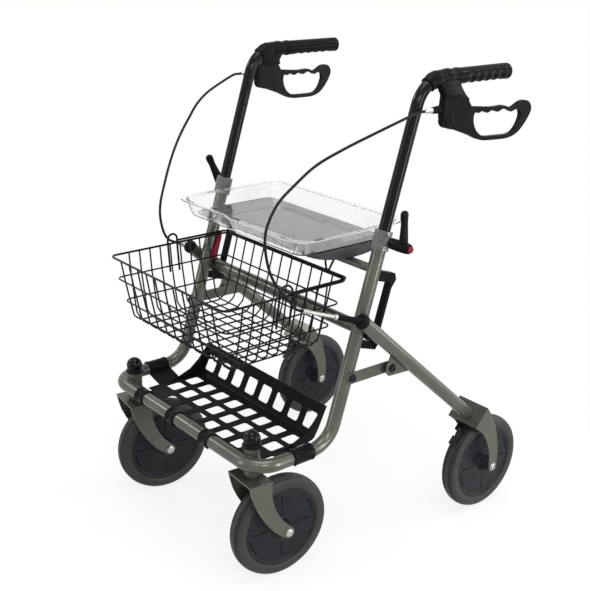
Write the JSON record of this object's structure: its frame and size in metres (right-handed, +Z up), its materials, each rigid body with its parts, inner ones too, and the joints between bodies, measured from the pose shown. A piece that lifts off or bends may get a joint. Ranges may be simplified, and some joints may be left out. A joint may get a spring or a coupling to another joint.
{
  "type": "four-wheel walker",
  "caption": "Folding four-wheel walker (rollator) with bent tube frame, swivelling front casters, loop brakes, wire basket, flip-up seat with clear tray, and lower shelf.",
  "frame": {"origin": "on the floor, under the middle of the walker's bounding box", "axes": "+Z up; -Y is the way the walker rolls forwards (casters and basket); +X is the user's left"},
  "size_m": [0.6288, 0.693, 0.9115],
  "materials": {
    "frame_paint": "bronze grey metallic paint on steel tube",
    "black_paint": "gloss black paint on steel tube",
    "black_plastic": "black moulded nylon",
    "gloss_plastic": "gloss black dome caps",
    "grey_plastic": "dark grey moulded seat shell",
    "rim_plastic": "charcoal moulded wheel rim",
    "tyre": "grey brown solid tyre",
    "grip": "ribbed black grip",
    "wire": "black plastic coated wire",
    "cable": "black cable sheath",
    "zinc": "zinc plated steel",
    "red": "red moulded plastic",
    "smoked": "smoke grey see-through clamp collar",
    "clear": "clear moulded tray"
  },
  "bodies": {
    "frame": {"front_frame": "frame_paint", "seat_support_tube": "frame_paint", "shelf": "black_plastic", "basket": "wire", "basket_hanger": "wire", "guide_rail_left": "black_plastic", "caster_cap_left": "gloss_plastic", "link_bolt_left": "zinc", "clamp_collar_left": "smoked", "guide_rail_right": "black_plastic", "caster_cap_right": "gloss_plastic", "link_bolt_right": "zinc", "clamp_collar_right": "smoked"},
    "slide_bushes": {"slide_bush_left": "black_plastic", "slide_bush_right": "black_plastic"},
    "rear_legs": {"rear_frame": "frame_paint", "rear_fork_left": "frame_paint", "rear_axle_left": "zinc", "brake_block_left": "black_plastic", "leg_cap_left": "black_plastic", "cable_adjuster_left": "zinc", "rear_fork_right": "frame_paint", "rear_axle_right": "zinc", "brake_block_right": "black_plastic", "leg_cap_right": "black_plastic", "cable_adjuster_right": "zinc"},
    "link_left": {"link_left": "frame_paint"},
    "link_right": {"link_right": "frame_paint"},
    "caster_left": {"caster_fork_left": "frame_paint", "front_axle_left": "zinc"},
    "front_wheel_left": {"front_tyre_left": "tyre", "front_rim_left": "rim_plastic"},
    "rear_wheel_left": {"rear_tyre_left": "tyre", "rear_rim_left": "rim_plastic"},
    "caster_right": {"caster_fork_right": "frame_paint", "front_axle_right": "zinc"},
    "front_wheel_right": {"front_tyre_right": "tyre", "front_rim_right": "rim_plastic"},
    "rear_wheel_right": {"rear_tyre_right": "tyre", "rear_rim_right": "rim_plastic"},
    "handle_left": {"handle_tube_left": "black_paint", "grip_left": "grip", "brake_body_left": "black_plastic", "brake_cable_left": "cable"},
    "brake_lever_left": {"brake_lever_left": "black_plastic"},
    "brake_shoe_left": {"brake_shoe_left": "zinc"},
    "clamp_lever_left": {"clamp_lever_left": "black_plastic", "clamp_cap_left": "red"},
    "handle_right": {"handle_tube_right": "black_paint", "grip_right": "grip", "brake_body_right": "black_plastic", "brake_cable_right": "cable"},
    "brake_lever_right": {"brake_lever_right": "black_plastic"},
    "brake_shoe_right": {"brake_shoe_right": "zinc"},
    "clamp_lever_right": {"clamp_lever_right": "black_plastic", "clamp_cap_right": "red"},
    "latch": {"latch_lever": "red"},
    "seat": {"seat_board": "grey_plastic"},
    "tray": {"tray": "clear"}
  },
  "joints": [
    {"name": "fold_slide", "type": "slide", "parent": "frame", "child": "slide_bushes", "axis": [0, 0.2849, 0.9586], "range_m": [0, 0.079]},
    {"name": "rear_leg_fold", "type": "hinge", "parent": "slide_bushes", "child": "rear_legs", "pos_m": [-0.00411, -0.06215, 0.45253], "axis": [1, 0, 0], "range_deg": [-35.67, 0]},
    {"name": "link_swing_left", "type": "hinge", "parent": "frame", "child": "link_left", "pos_m": [-0.00411, -0.11237, 0.37972], "axis": [1, 0, 0], "range_deg": [0, 46.74]},
    {"name": "link_swing_right", "type": "hinge", "parent": "frame", "child": "link_right", "pos_m": [-0.00411, -0.11237, 0.37972], "axis": [1, 0, 0], "range_deg": [0, 46.74]},
    {"name": "caster_swivel_left", "type": "hinge", "parent": "frame", "child": "caster_left", "pos_m": [0.19389, -0.29343, 0.218], "axis": [0, 0, 1], "continuous": true},
    {"name": "front_wheel_spin_left", "type": "hinge", "parent": "caster_left", "child": "front_wheel_left", "pos_m": [0.1987, -0.23493, 0.1], "axis": [0.9966, -0.0819, 0], "continuous": true},
    {"name": "rear_wheel_spin_left", "type": "hinge", "parent": "rear_legs", "child": "rear_wheel_left", "pos_m": [0.26489, 0.2465, 0.1], "axis": [1, 0, 0], "continuous": true},
    {"name": "caster_swivel_right", "type": "hinge", "parent": "frame", "child": "caster_right", "pos_m": [-0.20211, -0.29343, 0.218], "axis": [0, 0, 1], "continuous": true},
    {"name": "front_wheel_spin_right", "type": "hinge", "parent": "caster_right", "child": "front_wheel_right", "pos_m": [-0.19445, -0.23523, 0.1], "axis": [0.9914, -0.1305, 0], "continuous": true},
    {"name": "rear_wheel_spin_right", "type": "hinge", "parent": "rear_legs", "child": "rear_wheel_right", "pos_m": [-0.27311, 0.2465, 0.1], "axis": [1, 0, 0], "continuous": true},
    {"name": "handle_height_left", "type": "slide", "parent": "frame", "child": "handle_left", "axis": [0, 0.2849, 0.9586], "range_m": [-0.12, 0.04], "deforming": ["brake_cable_left"]},
    {"name": "brake_squeeze_left", "type": "hinge", "parent": "handle_left", "child": "brake_lever_left", "pos_m": [0.2616, 0.07657, 0.8255], "axis": [0.9969, -0.0785, 0], "range_deg": [0, 12], "stiffness_Nm_per_rad": 2, "springref_deg": -5.73},
    {"name": "brake_shoe_turn_left", "type": "hinge", "parent": "rear_legs", "child": "brake_shoe_left", "pos_m": [0.26489, 0.18177, 0.19051], "axis": [1, 0, 0], "range_deg": [0, 4.44]},
    {"name": "clamp_turn_left", "type": "hinge", "parent": "frame", "child": "clamp_lever_left", "pos_m": [0.23539, -0.04034, 0.62215], "axis": [1, 0, 0], "range_deg": [-90, 90]},
    {"name": "handle_height_right", "type": "slide", "parent": "frame", "child": "handle_right", "axis": [0, 0.2849, 0.9586], "range_m": [-0.12, 0.04], "deforming": ["brake_cable_right"]},
    {"name": "brake_squeeze_right", "type": "hinge", "parent": "handle_right", "child": "brake_lever_right", "pos_m": [-0.26982, 0.07657, 0.8255], "axis": [0.9969, 0.0785, 0], "range_deg": [0, 12], "stiffness_Nm_per_rad": 2, "springref_deg": -5.73},
    {"name": "brake_shoe_turn_right", "type": "hinge", "parent": "rear_legs", "child": "brake_shoe_right", "pos_m": [-0.27311, 0.18177, 0.19051], "axis": [1, 0, 0], "range_deg": [0, 4.44]},
    {"name": "clamp_turn_right", "type": "hinge", "parent": "frame", "child": "clamp_lever_right", "pos_m": [-0.24361, -0.04034, 0.62215], "axis": [0.866, -0.4793, 0.1424], "range_deg": [-90, 90]},
    {"name": "latch_swing", "type": "hinge", "parent": "frame", "child": "latch", "pos_m": [-0.23061, -0.07722, 0.47871], "axis": [1, 0, 0], "range_deg": [0, 25]},
    {"name": "seat_flip", "type": "hinge", "parent": "frame", "child": "seat", "pos_m": [-0.00411, -0.0558, 0.5701], "axis": [1, 0, 0], "range_deg": [-70, 0]},
    {"name": "tray_lift", "type": "slide", "parent": "seat", "child": "tray", "axis": [0, 0, 1], "range_m": [0, 0.08]}
  ],
  "couplings": [
    {"joint": "rear_leg_fold", "follows": "fold_slide", "rad_per_m": -7.8783},
    {"joint": "link_swing_left", "follows": "fold_slide", "rad_per_m": 10.324},
    {"joint": "link_swing_right", "follows": "fold_slide", "rad_per_m": 10.324},
    {"joint": "brake_shoe_turn_left", "follows": "brake_squeeze_left", "ratio": 0.37},
    {"joint": "brake_shoe_turn_right", "follows": "brake_squeeze_right", "ratio": 0.37}
  ]
}
